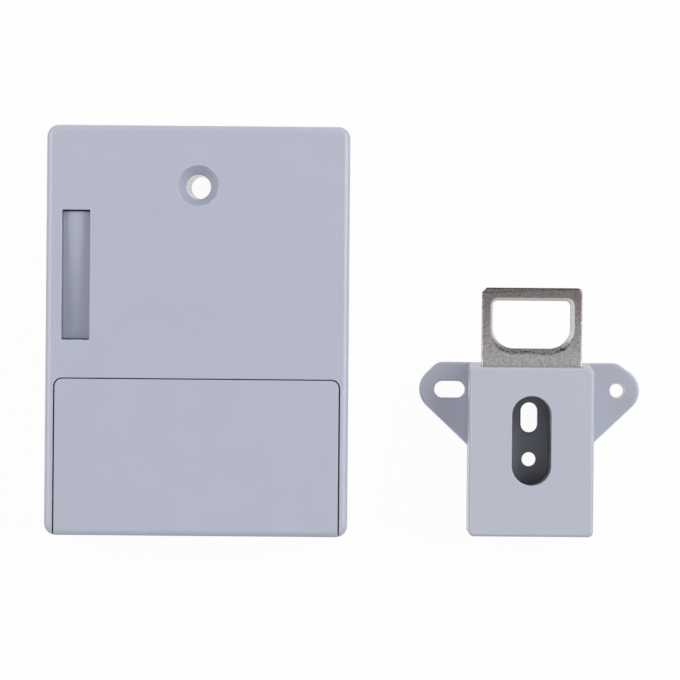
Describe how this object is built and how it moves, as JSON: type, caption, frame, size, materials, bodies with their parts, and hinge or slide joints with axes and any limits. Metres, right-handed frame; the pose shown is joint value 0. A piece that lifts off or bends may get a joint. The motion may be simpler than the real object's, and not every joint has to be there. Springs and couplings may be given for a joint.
{
  "type": "electronic cabinet lock",
  "caption": "Hidden electronic cabinet lock: flat case with a plate slot, sprung ejector, motor-driven bolt and sliding battery cover, and a separate eared catch with a steel strike plate.",
  "frame": {"origin": "bottom centre of the set's box, on the mounting backs of both units", "axes": "+Z out of the front faces, +Y up the faces towards the fixing hole, +X from the lock case towards the catch"},
  "size_m": [0.168, 0.115, 0.025],
  "materials": {
    "case_plastic": "fine satin moulding, light blue grey",
    "catch_plastic": "fine satin moulding, light blue grey",
    "nickel_steel": "tumbled nickel plating, grainy",
    "zinc_steel": "bright zinc plating",
    "brass": "machined",
    "copper": "enamelled winding",
    "black_plastic": "matte moulding",
    "white_plastic": "smooth moulding",
    "board": "green lacquered glass-fibre board",
    "cell_jacket": "plain printed jacket without lettering"
  },
  "bodies": {
    "lock_case": {"front_shell": "case_plastic", "rear_cover": "case_plastic", "battery_contact_1": "nickel_steel", "battery_contact_2": "nickel_steel", "battery_contact_3": "nickel_steel", "battery_contact_4": "nickel_steel", "battery_contact_5": "nickel_steel", "battery_contact_6": "nickel_steel", "contact_spring_1": "nickel_steel", "contact_spring_2": "nickel_steel", "contact_spring_3": "nickel_steel", "case_screw_1": "zinc_steel", "case_screw_2": "zinc_steel", "case_screw_3": "zinc_steel", "case_screw_4": "zinc_steel", "mechanism_screw_1": "zinc_steel", "mechanism_screw_2": "zinc_steel", "mechanism_screw_3": "zinc_steel", "mechanism_screw_4": "zinc_steel", "board_screw_1": "zinc_steel", "board_screw_2": "zinc_steel", "board_screw_3": "zinc_steel", "board_screw_4": "zinc_steel", "ejector_spring_1": "zinc_steel", "ejector_spring_2": "zinc_steel", "motor": "zinc_steel", "motor_bracket": "zinc_steel", "motor_gearbox": "brass", "antenna_coil": "copper", "battery_tray": "black_plastic", "control_chip": "black_plastic", "buzzer": "black_plastic", "bolt_sensor": "black_plastic", "switch_body": "black_plastic", "bolt_guide": "white_plastic", "circuit_board": "board", "battery_cell_1": "cell_jacket", "battery_cell_2": "cell_jacket", "battery_cell_3": "cell_jacket"},
    "battery_cover": {"battery_cover": "case_plastic"},
    "latch_bolt": {"latch_bolt": "zinc_steel"},
    "drive_pinion": {"drive_pinion": "brass"},
    "ejector": {"ejector": "case_plastic"},
    "set_button": {"set_button": "white_plastic"},
    "catch": {"catch_base": "catch_plastic", "catch_box": "catch_plastic", "strike_plate": "nickel_steel", "plate_screw_1": "zinc_steel", "plate_screw_2": "zinc_steel", "plate_screw_3": "zinc_steel", "plate_screw_4": "zinc_steel", "catch_screw_1": "zinc_steel", "catch_screw_2": "zinc_steel"}
  },
  "joints": [
    {"name": "cover_slide", "type": "slide", "parent": "lock_case", "child": "battery_cover", "axis": [0, -1, 0], "range_m": [0, 0.046]},
    {"name": "bolt_slide", "type": "slide", "parent": "lock_case", "child": "latch_bolt", "axis": [-1, 0, 0], "range_m": [0, 0.0095]},
    {"name": "pinion_turn", "type": "hinge", "parent": "lock_case", "child": "drive_pinion", "pos_m": [-0.06395, 0.0152, 0.0073], "axis": [0, -1, 0], "range_deg": [-1, 138]},
    {"name": "ejector_press", "type": "slide", "parent": "lock_case", "child": "ejector", "axis": [0, 0, -1], "range_m": [0, 0.0135], "stiffness_N_per_m": 120, "springref_m": -0.008, "deforming": ["ejector_spring_1", "ejector_spring_2"]},
    {"name": "button_press", "type": "slide", "parent": "lock_case", "child": "set_button", "axis": [0, 0, -1], "range_m": [0, 0.0005], "stiffness_N_per_m": 800, "springref_m": -0.0006},
    {"name": "catch_move", "type": "slide", "parent": "lock_case", "child": "catch", "axis": [1, 0, 0], "range_m": [-0.015, 0.04]}
  ],
  "couplings": [
    {"joint": "pinion_turn", "follows": "bolt_slide", "rad_per_m": 250}
  ]
}
